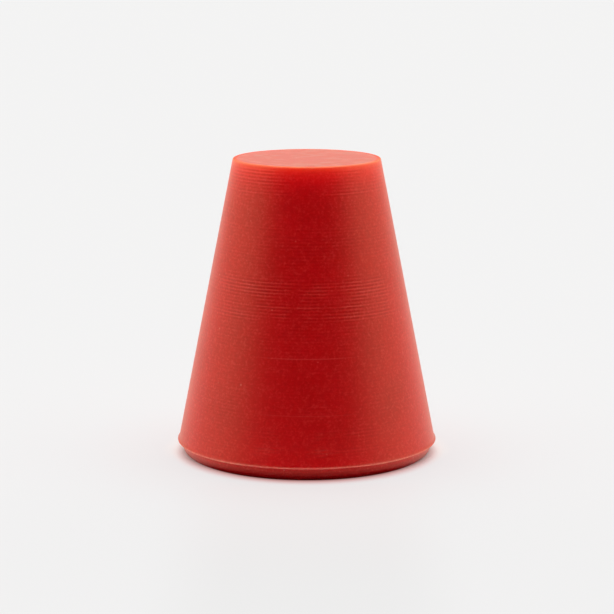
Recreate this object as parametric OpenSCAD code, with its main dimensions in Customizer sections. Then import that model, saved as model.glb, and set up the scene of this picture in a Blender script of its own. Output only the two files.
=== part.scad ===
// Solid tapered stopper, moulded in one piece of soft red rubber.
// It stands on its large end. The origin is the centre of that flat face, and +Z points to the
// small end. The mould opened at a parting line just above the large end, and left a thin flash
// there. Below that line the shallow half of the mould formed a band that is set in a little.

/* [Body] */
// Height from the large end's flat face to the small end's flat face
height = 25.4; // [12:0.1:60]
// Diameter of the taper where it meets the small end's face
small_d = 12.5; // [6:0.1:20]
// Diameter of the taper at the parting line
large_d = 22.05; // [14:0.05:50]

/* [Ends] */
// Radius of the edge round the small end's face
small_edge_r = 0.15; // [0.05:0.05:2]
// Radius of the edge round the large end's face
large_edge_r = 0.67; // [0.05:0.01:0.9]

/* [Parting line] */
// Height of the parting line above the large end's face
parting_h = 1.14; // [0.9:0.02:6]
// How far the band below the parting line is set in from the taper
band_inset = 0.28; // [0.1:0.02:2]
// Lean of that band inwards, towards the large end's face, in degrees
band_lean = 8; // [0:1:20]
// How far the flash stands out from the taper
flash_proud = 0.09; // [0.02:0.01:0.3]
// Radius of the flash's outer edge
flash_edge_r = 0.04; // [0.02:0.01:0.2]
// Radius of the hollow sweep that leads from the taper out to the flash
flash_sweep_r = 0.4; // [0.2:0.05:6]

/* [Hidden] */
$fn = 192;
rubber_red = [0.80, 0.10, 0.09];

// An arc that blends two lines passes them by this much, so that they cross and don't just touch
crossing = 0.00002;

small_r = small_d / 2;
large_r = large_d / 2;
taper_lean = atan((large_r - small_r) / (height - parting_h));
band_foot_r = large_r - band_inset - parting_h * tan(band_lean);

// The next four points are measured from where the taper meets the parting plane. The flash's
// underside lies in that plane. The sweep is an arc that touches the taper and the flash's edge.
taper_up = [-sin(taper_lean), cos(taper_lean)];
taper_out = [cos(taper_lean), sin(taper_lean)];
edge_centre = [flash_proud - flash_edge_r, flash_edge_r];
edge_to_sweep = flash_sweep_r - edge_centre * taper_out;
sweep_up = edge_centre * taper_up + sqrt((flash_sweep_r + flash_edge_r) ^ 2 - edge_to_sweep ^ 2);
sweep_start = sweep_up * taper_up;
sweep_centre = sweep_start + flash_sweep_r * taper_out;
sweep_end = edge_centre + flash_edge_r * (sweep_centre - edge_centre) / norm(sweep_centre - edge_centre);

// Flat ends, band and taper, with sharp corners
module straight_section() {
    polygon([
        [0, 0],
        [band_foot_r, 0],
        [large_r - band_inset, parting_h],
        [large_r, parting_h],
        [small_r, height],
        [0, height],
    ]);
}

// Thin lip at the parting line, with its rounded edge and the sweep above it
module flash_section() {
    translate([large_r, parting_h]) {
        translate(edge_centre) circle(flash_edge_r);
        difference() {
            polygon([
                [-band_inset, 0],
                [edge_centre[0], 0],
                edge_centre,
                sweep_end,
                sweep_start,
                sweep_start - [band_inset, 0],
            ]);
            translate(sweep_centre) circle(flash_sweep_r + crossing, $fn = 720);
        }
    }
}

// What a round of radius r takes off the sharp corner of a flat end. The wall leans out from the
// face, and side is 1 if it rises from the face and -1 if it drops from it.
module corner_waste(corner, r, lean, side) {
    reach = r * tan((90 - lean) / 2);
    centre = [-reach, side * r];
    translate(corner) difference() {
        polygon([
            centre,
            centre - 2 * r * [0, side],
            -centre,
            centre + 2 * r * [cos(lean), -side * sin(lean)],
        ]);
        translate(centre) circle(r + crossing);
    }
}

module stopper() {
    color(rubber_red) rotate_extrude() difference() {
        union() {
            straight_section();
            flash_section();
        }
        corner_waste([band_foot_r, 0], large_edge_r, band_lean, 1);
        corner_waste([small_r, height], small_edge_r, taper_lean, -1);
    }
}

stopper();
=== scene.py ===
# Looks of the tapered rubber stopper, built round its CAD frame. Everything is in metres, with the
# large end's face on the floor, its centre at the origin and +Z towards the small end. Places on
# the stopper and the floor are in millimetres inside the materials.
import math
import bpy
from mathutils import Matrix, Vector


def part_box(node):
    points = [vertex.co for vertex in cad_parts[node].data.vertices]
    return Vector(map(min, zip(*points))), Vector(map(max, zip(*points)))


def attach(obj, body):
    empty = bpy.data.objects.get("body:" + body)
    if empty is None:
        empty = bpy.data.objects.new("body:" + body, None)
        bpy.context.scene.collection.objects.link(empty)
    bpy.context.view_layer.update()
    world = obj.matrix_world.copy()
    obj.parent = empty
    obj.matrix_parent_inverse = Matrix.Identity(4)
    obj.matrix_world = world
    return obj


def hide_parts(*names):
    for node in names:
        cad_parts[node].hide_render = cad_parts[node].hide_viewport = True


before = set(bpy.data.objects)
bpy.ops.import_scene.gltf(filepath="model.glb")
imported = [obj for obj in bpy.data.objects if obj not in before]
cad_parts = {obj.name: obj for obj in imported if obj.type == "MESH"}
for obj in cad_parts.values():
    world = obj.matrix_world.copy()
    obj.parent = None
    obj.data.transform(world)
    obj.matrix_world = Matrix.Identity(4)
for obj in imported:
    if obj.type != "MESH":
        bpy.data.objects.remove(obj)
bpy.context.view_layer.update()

from types import SimpleNamespace

import bpy

MM = 0.001

# ---- Sizes of the stopper ------------------------------------------------------------------------
low_corner, high_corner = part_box("stopper")
HEIGHT = high_corner.z - low_corner.z
FLASH_RADIUS = high_corner.x
FLASH_PROUD = 0.09 * MM
FLASH_EDGE = 0.04 * MM
FLASH_SWEEP = 0.4 * MM
PARTING = 1.14 * MM
LARGE_RADIUS = 11.025 * MM
SMALL_RADIUS = 6.25 * MM
SMALL_EDGE = 0.15 * MM
LARGE_EDGE = 0.67 * MM
BAND_INSET = 0.28 * MM
BAND_LEAN = math.radians(8)
TAPER_LEAN = math.atan((LARGE_RADIUS - SMALL_RADIUS) / (HEIGHT - PARTING))

# ---- Rows of faces in the section ----------------------------------------------------------------
SEGMENTS = 320
LARGE_FACE_ROWS = 7
LARGE_EDGE_ROWS = 12
BAND_ROWS = 3
LEDGE_ROWS = 3
FLASH_EDGE_ROWS = 8
SWEEP_ROWS = 9
SMALL_EDGE_ROWS = 8
SMALL_FACE_ROWS = 9
ROWS_PER_RING = 6
PLAIN_ROW = 0.75 * MM

# ---- Marks that the mould left -------------------------------------------------------------------
MOULD_SEED = 7.0
RING_PITCH = 0.28 * MM
RING_DEPTH = 0.004 * MM
RING_PATCH = 4.0 * MM
# Stretches of the taper where the turning rings stand out: their lowest and highest places in
# millimetres, and how strongly
RING_STRETCHES = ((1.95, 4.35, 0.4), (12.6, 16.6, 0.6), (22.95, 25.0, 0.7))
RING_FADE = 0.35 * MM
WAVE_HEIGHT = 0.004 * MM
WAVE_SIZE = 5.0 * MM
# How far up the sweep and in from its edge the flash is worn
WORN_HEIGHT = 0.5 * MM
WORN_DEPTH = 0.25 * MM
FLASH_WEAR = 0.05 * MM
RAGGED_SIZE = 0.55 * MM
SLOW_SIZE = 3.0 * MM
NUB_HEIGHT = 0.06 * MM
NUB_SPACING = 0.9 * MM
NUB_RADIUS = 0.35 * MM
# Points of the mesh that are nearer to each other than this become one
SAME_PLACE = 0.0005 * MM
SHARP_ANGLE = math.radians(50)

# ---- Finish of the rubber ------------------------------------------------------------------------
RUBBER_IOR = 1.53
GLOSS_TINT = (1.0, 1.0, 0.78, 1)
# How far red, green and blue light travel inside the rubber
LIGHT_REACH = 2.6 * MM
LIGHT_SHARES = (1.0, 0.3, 0.26)
SKIN_ROUGHNESS = 0.32
BLOOM_ROUGHNESS = 0.45
# Sizes of its unevenness, from broad clouds to the finest grain, in millimetres
CLOUD_SIZE = 3.5
SMEAR_SIZE = 1.5
PEEL_SIZE = 0.40
FINE_SIZE = 0.22
FINEST_SIZE = 0.13
SPECK_SPACING = 0.9
PATCH_SIZE = 1.7
# Heights of its relief, in millimetres
RING_RELIEF = 0.010
PEEL_RELIEF = 0.012
FINE_RELIEF = 0.006
FINEST_RELIEF = 0.002
SPECK_RELIEF = 0.002
# Colours of the rubber itself, and of the painted glow, highlights and shade laid on it
DEEP_RED = (0.78, 0.0005, 0.005, 1)
LIGHTER_RED = (0.84, 0.001, 0.007, 1)
# The small end's dusty, paler red, darkened as painted shade to offset the strong light above it
SMALL_END_RED = (0.66, 0.025, 0.035, 1)
# Painted light: the band under the flash is a lighter red towards its top
BAND_RED = (1.0, 0.002, 0.010, 1)
# Painted glow near the small end's rim, standing in for light shining through the thin edge
RIM_GLOW_RED = (1.0, 0.001, 0.012, 1)
RIM_GLOW_ORANGE = (1.0, 0.15, 0.06, 1)
# Painted glow along the flash's edge
FLASH_GLOW_RED = (1.0, 0.05, 0.06, 1)
# Painted highlight line along the crest of the flash
LIP_HIGHLIGHT_PINK = (1.0, 0.16, 0.11, 1)
# Pale pink of dust and grain, also used for painted highlights on the rings' up-facing slopes
DUST_AND_HIGHLIGHT_PINK = (1.0, 0.12, 0.11, 1)
SPECK_PINK = (1.0, 0.18, 0.15, 1)
# Colours of the paler coat: dry bloom on the small end; along the flash partly its whitening and
# partly a painted glow; on the lip a painted highlight
SMALL_END_BLOOM = (0.65, 0.175, 0.19, 1)
FLASH_BLOOM_AND_GLOW = (0.95, 0.04, 0.05, 1)
LIP_HIGHLIGHT_PALE = (1.0, 0.20, 0.14, 1)
# Heights of two thin lines on the front and the back of the taper, in millimetres
UPPER_LINE = 9.98
LOWER_LINE = 5.4

# ---- Floor, tent and camera ----------------------------------------------------------------------
FLOOR_SIZE = 6.0
FLOOR_DROP = 0.01 * MM
CARD_ROUGHNESS = 0.8
CARD_GLOSS = 0.2
CARD_WHITE = (0.90, 0.90, 0.90, 1)
# Painted shade on the card, seen only in the light it gives back and in mirror rays
CARD_SHADE = (0.05, 0.05, 0.05, 1)
CARD_GLOW = (0.80, 0.80, 0.826, 1)
CARD_GLOW_IN_GLOSS = (0.80, 0.79, 0.62, 1)
# Painted pink shadow round the foot and painted pink reflection of the stopper in the card
CARD_PINK = (0.92, 0.40, 0.38, 1)
# How much of the card's brightness is its own light
GLOW_SHARE = 0.74
BACKDROP = 0.91
TENT_LIGHT = 0.97
# The tent begins to open at the first angle from straight ahead, and is all open at the second
OPEN_FROM = math.radians(84)
OPEN_FULLY = math.radians(33)
TENT_TINT = (1.0, 0.99, 0.93, 1)
TENT_TINT_IN_GLOSS = (1.0, 0.985, 0.66, 1)
WHITE = (1.0, 1.0, 1.0, 1)
CAMERA_PLACE = (0.018 * MM, -190.4 * MM, 49.07 * MM)
CAMERA_DIP = math.radians(10.854)
LENS = 132.95
SENSOR_WIDTH = 36.0
NEAREST_SEEN = 0.01
FARTHEST_SEEN = 20.0


class Wire:
    """A node's output socket, which arithmetic builds on with Math nodes."""

    def __init__(self, tree, socket):
        self.tree = tree
        self.socket = socket

    def maths(self, operation, *others, first=None):
        """A Math node on this value and the others, or on first and this value."""
        values = [self, *others] if first is None else [first, self]
        sockets = dict(enumerate(values))
        return self.tree.add("ShaderNodeMath", {"operation": operation}, sockets)["Value"]

    def __add__(self, other):
        return self.maths("ADD", other)

    def __sub__(self, other):
        return self.maths("SUBTRACT", other)

    def __rsub__(self, other):
        return self.maths("SUBTRACT", first=other)

    def __mul__(self, other):
        return self.maths("MULTIPLY", other)

    def __truediv__(self, other):
        return self.maths("DIVIDE", other)

    def __mod__(self, other):
        return self.maths("MODULO", other)

    __radd__ = __add__
    __rmul__ = __mul__

    def size(self):
        """Without its sign."""
        return self.maths("ABSOLUTE")

    def clamp(self):
        """Held between 0 and 1."""
        return self.maths("MAXIMUM", 0.0).maths("MINIMUM", 1.0)

    def rise(self, start, end):
        """0 up to start and 1 from end on, with a smooth rise between them."""
        settings = {"interpolation_type": "SMOOTHSTEP"}
        sockets = {"Value": self, "From Min": start, "From Max": end}
        return self.tree.add("ShaderNodeMapRange", settings, sockets)["Result"]

    def between(self, start, risen, falling, end):
        """1 from risen to falling, with a smooth fall to 0 at start and end."""
        return self.rise(start, risen) * (1 - self.rise(falling, end))

    def dying(self, rate):
        """1 at 0, dying away over about 1 / rate."""
        return (self * -rate).maths("EXPONENT")


class Nodes:
    """A node tree written as expressions."""

    def __init__(self, tree):
        self.tree = tree
        tree.nodes.clear()

    def add(self, kind, settings=None, sockets=None):
        """A new node. Its settings come first, then the values or wires of its input sockets.
        Returns its outputs by name or identifier."""
        node = self.tree.nodes.new(kind)
        for name, value in (settings or {}).items():
            setattr(node, name, value)
        for key, value in (sockets or {}).items():
            self.plug(self.pick(node.inputs, key), value)
        outputs = {s.name: Wire(self, s) for s in reversed(node.outputs) if s.enabled}
        return outputs | {s.identifier: Wire(self, s) for s in node.outputs}

    @staticmethod
    def pick(sockets, key):
        if isinstance(key, int):
            return sockets[key]
        named = [s for s in sockets if s.identifier == key]
        return named[0] if named else sockets[key]

    def plug(self, socket, value):
        if isinstance(value, Wire):
            self.tree.links.new(value.socket, socket)
        else:
            socket.default_value = value

    def vector(self, operation, *values, output="Vector"):
        settings = {"operation": operation}
        return self.add("ShaderNodeVectorMath", settings, dict(enumerate(values)))[output]

    def scaled(self, vector, factor):
        sockets = {"Vector": vector, "Scale": factor}
        return self.add("ShaderNodeVectorMath", {"operation": "SCALE"}, sockets)["Vector"]

    def split(self, vector):
        parts = self.add("ShaderNodeSeparateXYZ", sockets={0: vector})
        return parts["X"], parts["Y"], parts["Z"]

    def join(self, x, y, z):
        return self.add("ShaderNodeCombineXYZ", sockets={"X": x, "Y": y, "Z": z})["Vector"]

    def noise(self, place, size, detail=2.0, seed=0.0):
        """Smooth noise from 0 to 1 whose blobs are about size across."""
        sockets = {"Vector": place, "W": seed, "Scale": 1 / size, "Detail": detail}
        kind = "ShaderNodeTexNoise"
        return self.add(kind, {"noise_dimensions": "4D"}, sockets)["Fac"]

    def random(self, number, seed):
        """One random value from 0 to 1 for each number."""
        sockets = {"Vector": self.join(number, seed, 0.0)}
        kind = "ShaderNodeTexWhiteNoise"
        return self.add(kind, {"noise_dimensions": "2D"}, sockets)["Value"]

    def cells(self, place, size, seed):
        """Distance to the nearest of many scattered points about size apart, in the same unit,
        and a random number for each point."""
        moved = self.vector("ADD", place, (seed * size * 10, 0.0, 0.0))
        sockets = {"Vector": moved, "Scale": 1 / size, "Randomness": 1.0}
        cell = self.add("ShaderNodeTexVoronoi", sockets=sockets)
        return cell["Distance"] * size, self.split(cell["Color"])[0]

    def blend(self, factor, colour_a, colour_b):
        sockets = {"Factor_Float": factor, "A_Color": colour_a, "B_Color": colour_b}
        mix = self.add("ShaderNodeMix", {"data_type": "RGBA"}, sockets)
        return mix["Result_Color"]

    def rays(self):
        """Rays that show a surface as background, and rays that mirror it."""
        path = self.add("ShaderNodeLightPath")
        shown = (path["Is Camera Ray"] + path["Is Transmission Ray"]).clamp()
        return shown, path["Is Glossy Ray"]

    def spot(self):
        """Where the shaded spot is on its piece, in millimetres."""
        at = self.scaled(self.add("ShaderNodeTexCoord")["Object"], 1 / MM)
        x, y, z = self.split(at)
        radius = self.vector("LENGTH", self.join(x, y, 0.0), output="Value")
        return SimpleNamespace(at=at, x=x, y=y, z=z, radius=radius)


# ---- Section -------------------------------------------------------------------------------------
def arc(centre, radius, start, end, steps):
    """Points and outward directions along an arc, whose angles run from +r towards +z."""
    turns = [start + (end - start) * i / steps for i in range(steps + 1)]
    return [((centre[0] + radius * math.cos(a), centre[1] + radius * math.sin(a)),
             (math.cos(a), math.sin(a))) for a in turns]


def line(start, end, out, steps):
    """Points between two places, with their ends left out, all facing the same way."""
    shares = [i / steps for i in range(1, steps)]
    return [((start[0] + (end[0] - start[0]) * t, start[1] + (end[1] - start[1]) * t), out)
            for t in shares]


def ring_strength(z):
    """How strongly the turning rings stand out at a height on the taper."""
    strengths = [0.0]
    for low, high, strength in RING_STRETCHES:
        inside = min(z - low * MM, high * MM - z) / RING_FADE
        strengths.append(strength * min(max(inside, 0.0), 1.0))
    return max(strengths)


def taper_rows(start, end):
    """Rows up the taper, close together where rings stand out."""
    out = (math.cos(TAPER_LEAN), math.sin(TAPER_LEAN))
    ring_row = RING_PITCH / ROWS_PER_RING * math.cos(TAPER_LEAN)
    rows = []
    z = start[1] + ring_row
    while z < end[1] - ring_row / 2:
        share = (z - start[1]) / (end[1] - start[1])
        rows.append(((start[0] + (end[0] - start[0]) * share, z), out))
        ringed = ring_strength(z) > 0 or ring_strength(z + PLAIN_ROW) > 0
        z += ring_row if ringed else PLAIN_ROW
    return rows


def flash_rows():
    """The flash's rounded edge, and the hollow sweep from it up to the taper."""
    up = (-math.sin(TAPER_LEAN), math.cos(TAPER_LEAN))
    out = (math.cos(TAPER_LEAN), math.sin(TAPER_LEAN))
    edge = (LARGE_RADIUS + FLASH_PROUD - FLASH_EDGE, PARTING + FLASH_EDGE)
    off = (edge[0] - LARGE_RADIUS, edge[1] - PARTING)
    off_out = off[0] * out[0] + off[1] * out[1]
    off_up = off[0] * up[0] + off[1] * up[1]
    reach = FLASH_SWEEP + FLASH_EDGE
    rise = off_up + math.sqrt(reach ** 2 - (FLASH_SWEEP - off_out) ** 2)
    sweep_start = (LARGE_RADIUS + rise * up[0], PARTING + rise * up[1])
    centre = (sweep_start[0] + FLASH_SWEEP * out[0], sweep_start[1] + FLASH_SWEEP * out[1])
    meet = math.atan2(centre[1] - edge[1], centre[0] - edge[0])

    rounded = arc(edge, FLASH_EDGE, -math.pi / 2, meet, FLASH_EDGE_ROWS)
    sweep = arc(centre, FLASH_SWEEP, meet + math.pi, TAPER_LEAN + math.pi, SWEEP_ROWS)
    return rounded, [(place, (-way[0], -way[1])) for place, way in sweep]


def section_rows():
    """The section from the centre of the large end, up the side, to the centre of the small end,
    as places and outward directions."""
    down = (0.0, -1.0)
    foot = LARGE_RADIUS - BAND_INSET - PARTING * math.tan(BAND_LEAN)
    foot_reach = LARGE_EDGE * math.tan((math.pi / 2 - BAND_LEAN) / 2)
    top_reach = SMALL_EDGE * math.tan((math.pi / 2 - TAPER_LEAN) / 2)
    foot_round = arc((foot - foot_reach, LARGE_EDGE), LARGE_EDGE, -math.pi / 2, -BAND_LEAN,
                     LARGE_EDGE_ROWS)
    top_round = arc((SMALL_RADIUS - top_reach, HEIGHT - SMALL_EDGE), SMALL_EDGE,
                    TAPER_LEAN, math.pi / 2, SMALL_EDGE_ROWS)
    band_top = (LARGE_RADIUS - BAND_INSET, PARTING)
    rounded, sweep = flash_rows()

    rows = [((0.0, 0.0), down)]
    rows += line((0.0, 0.0), foot_round[0][0], down, LARGE_FACE_ROWS)
    rows += foot_round
    rows += line(foot_round[-1][0], band_top, foot_round[-1][1], BAND_ROWS)
    rows += [(band_top, (math.cos(BAND_LEAN), -math.sin(BAND_LEAN)))]
    rows += line(band_top, rounded[0][0], down, LEDGE_ROWS)
    rows += rounded[:-1]
    rows += sweep
    rows += taper_rows(sweep[-1][0], top_round[0][0])
    rows += top_round
    rows += line(top_round[-1][0], (0.0, HEIGHT), (0.0, 1.0), SMALL_FACE_ROWS)
    return rows + [((0.0, HEIGHT), (0.0, 1.0))]


def flash_share(radius, z):
    """1 at the flash's edge, falling to 0 up the sweep and in towards the band."""
    up = 1 - abs(z - PARTING - FLASH_EDGE) / WORN_HEIGHT
    out = 1 - (FLASH_RADIUS - radius) / WORN_DEPTH
    share = min(max(min(up, out), 0.0), 1.0)
    return share * share * (3 - 2 * share)


def section_mesh():
    """The section as a chain of edges, with what each row needs stored on its points."""
    rows = section_rows()
    mesh = bpy.data.meshes.new("stopper_section")
    places = [(place[0], 0.0, place[1]) for place, _ in rows]
    mesh.from_pydata(places, [(i, i + 1) for i in range(len(rows) - 1)], [])
    ways = mesh.attributes.new("way_out", "FLOAT_VECTOR", "POINT")
    rings = mesh.attributes.new("ring_share", "FLOAT", "POINT")
    flashes = mesh.attributes.new("flash_share", "FLOAT", "POINT")
    for i, (place, way) in enumerate(rows):
        on_taper = abs(way[1] - math.sin(TAPER_LEAN)) < 1e-6
        ways.data[i].vector = (way[0], 0.0, way[1])
        rings.data[i].value = ring_strength(place[1]) if on_taper else 0.0
        flashes.data[i].value = flash_share(place[0], place[1])
    return mesh


# ---- Geometry tree -------------------------------------------------------------------------------
MOULDING_INPUTS = (("Segments", "NodeSocketInt", SEGMENTS),
                   ("Ring Pitch", "NodeSocketFloat", RING_PITCH),
                   ("Ring Depth", "NodeSocketFloat", RING_DEPTH),
                   ("Taper Lean", "NodeSocketFloat", TAPER_LEAN),
                   ("Wave Height", "NodeSocketFloat", WAVE_HEIGHT),
                   ("Flash Wear", "NodeSocketFloat", FLASH_WEAR),
                   ("Nub Height", "NodeSocketFloat", NUB_HEIGHT),
                   ("Seed", "NodeSocketFloat", MOULD_SEED))


def mould_relief(tree, given, at, radius, height, ring_share, flash):
    """How far the mould's marks lift the surface: rings, a slow wave, and the flash's wear."""
    seed = given["Seed"]
    lean = given["Taper Lean"]
    along = height * lean.maths("COSINE") - radius * lean.maths("SINE")
    ring = along / given["Ring Pitch"]
    uneven = tree.random(ring.maths("FLOOR"), seed)
    patchy = tree.noise(at, RING_PATCH, seed=seed)
    groove = (ring * math.tau).maths("SINE") * (0.45 + uneven * 0.55) * patchy.rise(0.2, 0.6)
    rings = groove * ring_share * given["Ring Depth"]

    wave = (tree.noise(at, WAVE_SIZE, seed=seed + 3.0) - 0.5) * given["Wave Height"]
    ragged = tree.noise(at, RAGGED_SIZE, detail=3.0, seed=seed + 5.0) - 0.5
    slow = tree.noise(at, SLOW_SIZE, seed=seed + 9.0) - 0.5
    distance, pick = tree.cells(at, NUB_SPACING, seed=3.0)
    nub = (1 - distance / NUB_RADIUS).clamp() * pick.rise(0.3, 0.9) * given["Nub Height"]
    wear = ragged * given["Flash Wear"] + slow * given["Flash Wear"] + nub
    return rings + wave + wear * flash


def moulding_tree(material):
    """Turns a section round the Z axis, and gives the surface the marks of its mould."""
    group = bpy.data.node_groups.new("moulding", "GeometryNodeTree")
    group.interface.new_socket("Geometry", in_out="OUTPUT", socket_type="NodeSocketGeometry")
    group.interface.new_socket("Section", in_out="INPUT", socket_type="NodeSocketGeometry")
    for name, kind, _ in MOULDING_INPUTS:
        group.interface.new_socket(name, in_out="INPUT", socket_type=kind)
    tree = Nodes(group)
    given = tree.add("NodeGroupInput")
    section = given["Section"]

    counts = tree.add("GeometryNodeAttributeDomainSize", sockets={"Geometry": section})
    row_count = counts["Point Count"]
    grid = tree.add("GeometryNodeMeshGrid", sockets={
        "Size X": 1.0, "Size Y": 1.0,
        "Vertices X": given["Segments"] + 1, "Vertices Y": row_count})["Mesh"]
    index = tree.add("GeometryNodeInputIndex")["Index"]
    row = index % row_count
    column = (index / row_count).maths("FLOOR")
    turn = column / given["Segments"] * math.tau

    def sampled(field, kind):
        settings = {"data_type": kind, "domain": "POINT"}
        sockets = {"Geometry": section, "Value": field, "Index": row}
        return tree.add("GeometryNodeSampleIndex", settings, sockets)["Value"]

    def of_row(name, kind):
        field = tree.add("GeometryNodeInputNamedAttribute", {"data_type": kind}, {"Name": name})
        return sampled(field["Attribute"], kind)

    place = sampled(tree.add("GeometryNodeInputPosition")["Position"], "FLOAT_VECTOR")
    radius, _, height = tree.split(place)
    out_r, _, out_z = tree.split(of_row("way_out", "FLOAT_VECTOR"))
    cosine = turn.maths("COSINE")
    sine = turn.maths("SINE")
    at = tree.join(radius * cosine, radius * sine, height)
    relief = mould_relief(tree, given, at, radius, height,
                          of_row("ring_share", "FLOAT"), of_row("flash_share", "FLOAT"))

    new_radius = radius + out_r * relief
    new_place = tree.join(new_radius * cosine, new_radius * sine, height + out_z * relief)
    turned = tree.add("GeometryNodeSetPosition", sockets={
        "Geometry": grid, "Position": new_place})["Geometry"]
    closed = tree.add("GeometryNodeMergeByDistance", sockets={
        "Geometry": turned, "Distance": SAME_PLACE})["Geometry"]
    smooth = tree.add("GeometryNodeSetShadeSmooth", sockets={
        "Geometry": closed, "Shade Smooth": True})["Geometry"]
    real = tree.add("GeometryNodeRealizeInstances", sockets={"Geometry": smooth})["Geometry"]
    coated = tree.add("GeometryNodeSetMaterial", sockets={
        "Geometry": real, "Material": material})["Geometry"]
    tree.add("NodeGroupOutput", sockets={"Geometry": coated})
    return group


def moulded_stopper(material):
    """The stopper's body as one plain closed mesh."""
    maker = bpy.data.objects.new("stopper_maker", section_mesh())
    bpy.context.scene.collection.objects.link(maker)
    group = moulding_tree(material)
    modifier = maker.modifiers.new("moulding", "NODES")
    modifier.node_group = group
    sockets = {item.name: item.identifier for item in group.interface.items_tree
               if item.in_out == "INPUT"}
    for name, _, value in MOULDING_INPUTS:
        modifier[sockets[name]] = value
    bpy.context.view_layer.update()
    evaluated = maker.evaluated_get(bpy.context.evaluated_depsgraph_get())
    mesh = bpy.data.meshes.new_from_object(evaluated)
    mesh.name = "stopper_body"
    bpy.data.objects.remove(maker)
    body = bpy.data.objects.new("stopper_body", mesh)
    bpy.context.scene.collection.objects.link(body)
    mesh.set_sharp_from_angle(angle=SHARP_ANGLE)
    return body


# ---- Red rubber ----------------------------------------------------------------------------------
def new_material(name):
    material = bpy.data.materials.new(name)
    material.use_nodes = True
    return material, Nodes(material.node_tree)


def rubber_grain(tree, at):
    """The rubber's unevenness, from broad clouds down to fine grain, and its scattered specks."""
    distance, pick = tree.cells(at, SPECK_SPACING, seed=4.0)
    spread = 0.03 + pick * 0.10
    return SimpleNamespace(
        cloudy=tree.noise(at, CLOUD_SIZE, seed=1.0),
        smear=tree.noise(at, SMEAR_SIZE, detail=3.0, seed=8.0),
        peel=tree.noise(at, PEEL_SIZE, detail=2.5, seed=2.0),
        fine=tree.noise(at, FINE_SIZE, detail=1.0, seed=6.0),
        finest=tree.noise(at, FINEST_SIZE, detail=1.0, seed=3.0),
        speck=(1 - (distance / spread).rise(0.3, 1.0)) * pick.rise(0.6, 1.0))


def rubber_zones(spot, grain):
    """How strongly each finish, painted glow, painted highlight and painted shade shows at a spot
    on the stopper. Beside those are the distances in from the small end's edge and from its rim, in
    millimetres."""
    z = spot.z
    parting = PARTING / MM
    sideways = (spot.x / spot.radius).size()
    taper_line = (LARGE_RADIUS * math.cos(TAPER_LEAN) + PARTING * math.sin(TAPER_LEAN)) / MM
    proud = spot.radius * math.cos(TAPER_LEAN) + z * math.sin(TAPER_LEAN) - taper_line
    flash = proud.rise(0.01, 0.09) * z.rise(parting - 0.02, parting + 0.04)
    # Painted highlight line on the crest of the flash, strongest towards the sides of the front and
    # the back
    lip_highlight = proud.rise(0.045, 0.085) * z.rise(parting - 0.02, parting + 0.02)
    beside_middle = sideways.between(0.35, 0.65, 0.88, 0.99)
    depth = HEIGHT / MM - z
    inward = SMALL_RADIUS / MM - spot.radius
    on_top = 1 - depth.rise(0.0, 0.08)
    upper_line = 1 - (z - UPPER_LINE).size().rise(0.02, 0.08)
    lower_line = 1 - (z - LOWER_LINE).size().rise(0.02, 0.07)
    return SimpleNamespace(
        sideways=sideways,
        inward=inward,
        from_rim=depth.maths("MAXIMUM", inward),
        on_top=on_top,
        # Painted shade: a thin darker line round the back of the small end's rim
        rear_rim=on_top * (1 - inward.rise(0.15, 0.5)) * (spot.y / spot.radius).rise(-0.5, 0.2),
        on_band=1 - z.rise(parting - 0.08, parting),
        # The flash's edge, beaded by the peel grain: partly its paler whitening, partly a painted
        # glow
        on_flash=flash * (0.2 + grain.peel.rise(0.35, 0.65) * 0.9),
        lip_highlight=lip_highlight * (0.6 + grain.fine.rise(0.4, 0.62) * 0.55) * beside_middle,
        # Where the rings and their painted highlights show; they fade near the small end in the
        # middle of the front and the back
        rings_kept=1 - (1 - sideways.rise(0.1, 0.5)) * z.rise(20.0, 22.0) * 0.85,
        lines=(upper_line * 1.7 + lower_line * 0.9) * (1 - sideways.rise(0.2, 0.5)))


def turning_rings(tree, spot, sideways):
    """The fine rings that the mould's turning left: their height, and their slopes that face up,
    which carry a painted highlight.
    """
    along = spot.z * math.cos(TAPER_LEAN) - spot.radius * math.sin(TAPER_LEAN)
    ring = along * (MM / RING_PITCH)
    uneven = tree.random(ring.maths("FLOOR"), 11.0)
    patchy = tree.noise(spot.at, PATCH_SIZE, seed=5.0).rise(0.3, 0.62)
    top = spot.z.between(22.7, 23.6, 25.0, 25.15)
    middle = spot.z.between(12.4, 13.4, 15.6, 16.8) * (1 - sideways.rise(0.7, 0.95))
    low = spot.z.between(1.8, 2.4, 3.6, 4.6) * (1 - sideways.rise(0.3, 0.6))
    share = (0.3 + uneven * 0.7) * patchy * (top + middle + low * 0.7 + 0.35)
    turn = ring * math.tau
    return turn.maths("SINE") * share, turn.maths("COSINE") * share * -1


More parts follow.
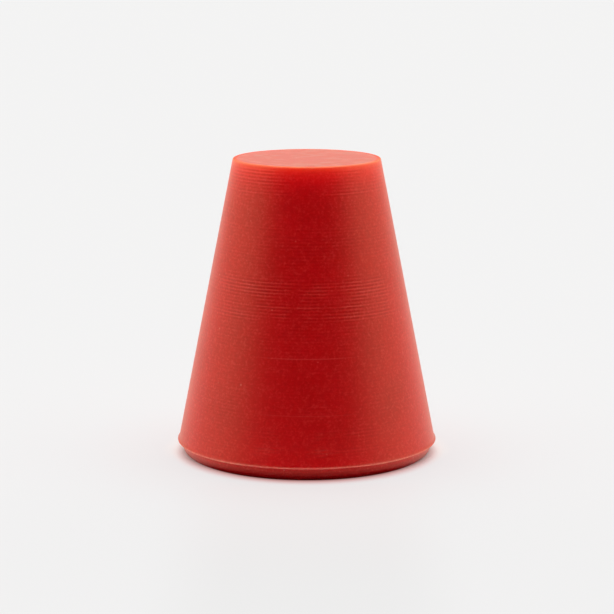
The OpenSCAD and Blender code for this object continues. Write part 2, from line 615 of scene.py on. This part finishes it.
def rubber_tone(tree, spot, grain, zones, lit_slopes):
    """Colour of the rubber itself, with painted glow, highlights and shade laid over it."""
    # Keeps the painted glow of the small end's rim off the middle of its face
    near_rim = 1 - zones.on_top * zones.inward.rise(0.15, 0.5) * 0.9
    grainy = (grain.fine * 0.6 + grain.finest * 0.4).rise(0.47, 0.72)
    # Dust and grain, with painted highlights on the rings' up-facing slopes, and the two thin lines
    dust_and_highlights = (grainy + lit_slopes.clamp() * zones.rings_kept * 0.5 + zones.lines * 0.9) * 0.24
    tone = tree.blend(grain.cloudy.rise(0.3, 0.7), DEEP_RED, LIGHTER_RED)
    for share, colour in (
            # The small end's dusty paler red, darkened as painted shade against the light above
            (zones.on_top, SMALL_END_RED),
            # Painted light: the band under the flash is lighter towards its top
            (zones.on_band * spot.z.rise(0.3, 1.1) * 0.7, BAND_RED),
            # Painted glow near the small end's rim: the red reaches further in than the orange
            (zones.from_rim.dying(0.7) * near_rim, RIM_GLOW_RED),
            (zones.from_rim.dying(3.5) * near_rim, RIM_GLOW_ORANGE),
            # Painted glow along the flash's edge
            (zones.on_flash * 0.35, FLASH_GLOW_RED),
            # Painted highlight line on the flash's crest
            (zones.lip_highlight * 0.5, LIP_HIGHLIGHT_PINK),
            (dust_and_highlights.clamp(), DUST_AND_HIGHLIGHT_PINK),
            (grain.speck * 0.7, SPECK_PINK)):
        tone = tree.blend(share, tone, colour)

    # The rings' up-facing slopes get a painted highlight
    # The term from the small end's rim is a painted glow there
    brightness = (0.955 + zones.from_rim.dying(1.2) * 0.06 + lit_slopes * zones.rings_kept * 0.07
                  + (grain.peel - 0.5) * 0.14 + (grain.fine - 0.5) * 0.18
                  + (grain.finest - 0.5) * 0.16
                  # The rear rim is darkened as painted shade
                  + zones.on_top * (grain.smear - 0.5) * 0.4 - zones.rear_rim * 0.3
                  # Painted shade: the band darkens towards the floor
                  + zones.on_band * (spot.z.rise(0.1, 1.0) - 1) * 0.25)
    return tree.scaled(tone, brightness.maths("MINIMUM", 1.0))


def red_rubber():
    """Soft moulded rubber: deep red, satin and translucent. Bloom, dry and paler, lies on the small
    end;
    along the flash a paler edge is partly its whitening and partly a painted glow and highlight."""
    material, tree = new_material("red_rubber")
    spot = tree.spot()
    grain = rubber_grain(tree, spot.at)
    zones = rubber_zones(spot, grain)
    rings, lit_slopes = turning_rings(tree, spot, zones.sideways)

    relief = (rings * zones.rings_kept * RING_RELIEF + grain.peel * PEEL_RELIEF
              + grain.fine * FINE_RELIEF + grain.finest * FINEST_RELIEF
              + grain.speck * SPECK_RELIEF)
    bump = tree.add("ShaderNodeBump", sockets={
        "Strength": 1.0, "Distance": MM, "Height": relief})["Normal"]
    roughness = (SKIN_ROUGHNESS + (grain.peel - 0.5) * 0.05 + grain.speck * 0.1
                 + zones.on_top * grain.smear.rise(0.38, 0.62) * 0.16 + zones.rear_rim * 0.4)
    skin = tree.add("ShaderNodeBsdfPrincipled", sockets={
        "Base Color": rubber_tone(tree, spot, grain, zones, lit_slopes),
        "Roughness": roughness, "Normal": bump, "IOR": RUBBER_IOR, "Specular Tint": GLOSS_TINT,
        "Subsurface Weight": 1.0, "Subsurface Radius": LIGHT_SHARES,
        "Subsurface Scale": LIGHT_REACH})["BSDF"]

    # The paler coat: dry bloom on the small end, and along the flash partly its whitening and
    # partly a painted glow and highlight
    pale = tree.blend(zones.on_flash, SMALL_END_BLOOM, FLASH_BLOOM_AND_GLOW)
    # Painted highlight line on the flash's crest
    pale = tree.blend(zones.lip_highlight, pale, LIP_HIGHLIGHT_PALE)
    bloom_and_highlight = tree.add("ShaderNodeBsdfPrincipled", sockets={
        "Base Color": pale, "Roughness": BLOOM_ROUGHNESS, "Normal": bump, "IOR": RUBBER_IOR,
        "Specular Tint": GLOSS_TINT})["BSDF"]
    smeared = (grain.smear * 0.7 + grain.peel * 0.3).rise(0.36, 0.64)
    dusty = zones.on_top * (0.30 + smeared * 0.20) * zones.inward.rise(0.1, 0.45)
    share = (zones.on_flash * 0.34 + zones.lip_highlight * 0.3 + dusty).clamp()
    surface = tree.add("ShaderNodeMixShader", sockets={0: share, 1: skin, 2: bloom_and_highlight})["Shader"]
    tree.add("ShaderNodeOutputMaterial", sockets={"Surface": surface})
    return material


# ---- Stage ---------------------------------------------------------------------------------------
def card_glow(tree, spot, in_line, glossy):
    """Colour of the card's own light: a painted pink shadow round the foot, a painted pink
    reflection of the stopper in the card in front of it, and painted shade that makes it a little
    dimmer far in front."""
    ahead = spot.y * -1
    # Painted reflection of the stopper in the card in front of it
    mirror_image = in_line * ahead.between(9.0, 13.0, 14.0, 44.0)
    # Painted pink shadow under and beside the foot
    under_foot = 1 - spot.radius.rise(9.6, 11.9)
    beside_foot = 1 - spot.radius.rise(13.0, 22.0)
    pink = under_foot + beside_foot * 0.03 + mirror_image * 0.055
    plain = tree.blend(glossy, CARD_GLOW, CARD_GLOW_IN_GLOSS)
    colour = tree.blend(pink.clamp(), plain, CARD_PINK)
    # Painted shade in front, deepest in line with the stopper
    return tree.scaled(colour, 1 - ahead.rise(6.0, 36.0) * (0.025 + in_line * 0.055))


def pale_card():
    """Matt pale card for the floor. Where it shows as background it is partly its own light, so
    that its shadow stays faint. In the light it gives back it is painted darker, as painted shade,
    under the foot and in front of it; in mirror rays it is painted bright just beyond the foot and
    darker further in front."""
    material, tree = new_material("pale_card")
    spot = tree.spot()
    radius = spot.radius
    shown, glossy = tree.rays()
    forward = spot.y / radius * -1
    in_front = forward.rise(-0.1, 0.8)
    dead_ahead = forward.rise(0.4, 1.0)
    in_line = 1 - spot.x.size().rise(5.0, 12.5)

    # Painted shade under the foot and in front of it, seen only in the light the card gives back
    near_edge = radius.rise(dead_ahead * 0.3 + 10.5, dead_ahead * 0.4 + 12.0)
    given_back = near_edge * (1 - in_front * radius.rise(12.6, 16.0) * 0.82)
    # In mirror rays the card is painted bright just beyond the foot, and darker further in front
    # and dead ahead
    mirror_edge = radius.rise(dead_ahead * 1.1 + 9.9, dead_ahead * 1.5 + 11.3)
    mirrored = (glossy * mirror_edge * (1 - in_front * radius.rise(18.0, 55.0))
                * (1 - dead_ahead * 0.6))
    lit = (shown + given_back * (1 - glossy) + mirrored).clamp()
    card = tree.add("ShaderNodeBsdfPrincipled", sockets={
        "Base Color": tree.blend(lit, CARD_SHADE, CARD_WHITE),
        "Roughness": CARD_ROUGHNESS, "Specular IOR Level": CARD_GLOSS})["BSDF"]

    glow = tree.add("ShaderNodeEmission", sockets={
        "Color": card_glow(tree, spot, in_line, glossy)})["Emission"]
    near_share = radius.rise(9.6 - in_front * 0.3, 12.9 - in_front * 2.0)
    beside = (1 - dead_ahead) * (1 - radius.rise(12.5, 15.0)) * 0.7
    bounced = (1 - shown - glossy).clamp() * given_back * (0.30 + beside)
    share = (shown * near_share + mirrored + bounced).clamp() * GLOW_SHARE
    surface = tree.add("ShaderNodeMixShader", sockets={0: share, 1: card, 2: glow})["Shader"]
    tree.add("ShaderNodeOutputMaterial", sockets={"Surface": surface})
    return material


def floor():
    half = FLOOR_SIZE / 2
    mesh = bpy.data.meshes.new("floor")
    outline = ((-half, -half), (half, -half), (half, half), (-half, half))
    mesh.from_pydata([(x, y, -FLOOR_DROP) for x, y in outline], [], [(0, 1, 2, 3)])
    mesh.materials.append(pale_card())
    stage_floor = bpy.data.objects.new("floor", mesh)
    bpy.context.scene.collection.objects.link(stage_floor)


def light_tent():
    """A white tent all round, brightest above, apart from the dark room on the open front."""
    world = bpy.data.worlds.new("light_tent")
    world.use_nodes = True
    bpy.context.scene.world = world
    tree = Nodes(world.node_tree)
    way = tree.vector("NORMALIZE", tree.add("ShaderNodeTexCoord")["Generated"])
    _, back, height = tree.split(way)
    front = tree.vector("DOT_PRODUCT", way, (0.0, -1.0, 0.0), output="Value")
    open_side = front.rise(math.cos(OPEN_FROM), math.cos(OPEN_FULLY))
    brighter_above = height.rise(0.0, 0.6) * 0.20 + height.rise(0.80, 0.97) * 2.1
    tent = (TENT_LIGHT + brighter_above) * (1 - open_side)
    shown, glossy = tree.rays()
    seen = (shown + glossy * back.rise(0.2, 0.6)).clamp()
    strength = tent * (1 - seen) + seen * BACKDROP
    tint = tree.blend(shown, tree.blend(glossy, TENT_TINT, TENT_TINT_IN_GLOSS), WHITE)
    light = tree.add("ShaderNodeBackground", sockets={
        "Color": tree.scaled(tint, strength)})["Background"]
    tree.add("ShaderNodeOutputWorld", sockets={"Surface": light})


def camera():
    data = bpy.data.cameras.new("camera")
    data.sensor_width = SENSOR_WIDTH
    data.lens = LENS
    data.clip_start = NEAREST_SEEN
    data.clip_end = FARTHEST_SEEN
    viewer = bpy.data.objects.new("camera", data)
    viewer.location = CAMERA_PLACE
    viewer.rotation_euler = (math.pi / 2 - CAMERA_DIP, 0.0, 0.0)
    bpy.context.scene.collection.objects.link(viewer)
    bpy.context.scene.camera = viewer


camera()
light_tent()
floor()
stopper = moulded_stopper(red_rubber())
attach(stopper, "root")
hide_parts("stopper")

bpy.context.scene.view_settings.view_transform = "Standard"
